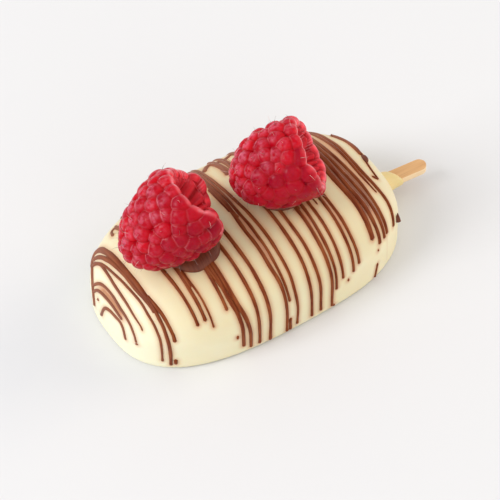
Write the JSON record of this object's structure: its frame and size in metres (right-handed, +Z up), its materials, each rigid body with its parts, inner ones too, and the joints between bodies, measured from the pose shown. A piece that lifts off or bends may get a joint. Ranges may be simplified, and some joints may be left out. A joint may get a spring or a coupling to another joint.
{
  "type": "mini ice pop with raspberries",
  "caption": "Small stick ice pop lying on its flat side: a domed bar in a pale coating with fine chocolate drizzle, raspberries on top and a slim wooden stick; a dessert to hold and eat.",
  "frame": {"origin": "middle of the whole object's base, on the surface that it lies on", "axes": "+X along the bar towards the stick's tip, +Z up, so +Y is across the bar"},
  "size_m": [0.0842, 0.0431, 0.042],
  "materials": {
    "coating": "set pale cream coating, smooth with a soft satin gloss",
    "chocolate": "set milk chocolate, smooth and softly glossy",
    "raspberry": "fresh raspberry, soft gloss under a fine pale bloom with short hairs",
    "wood": "plain smooth light wood with fine grain along the stick"
  },
  "bodies": {
    "root": {"bar": "coating", "stick": "wood", "raspberry_near": "raspberry", "raspberry_far": "raspberry"}
  },
  "joints": []
}
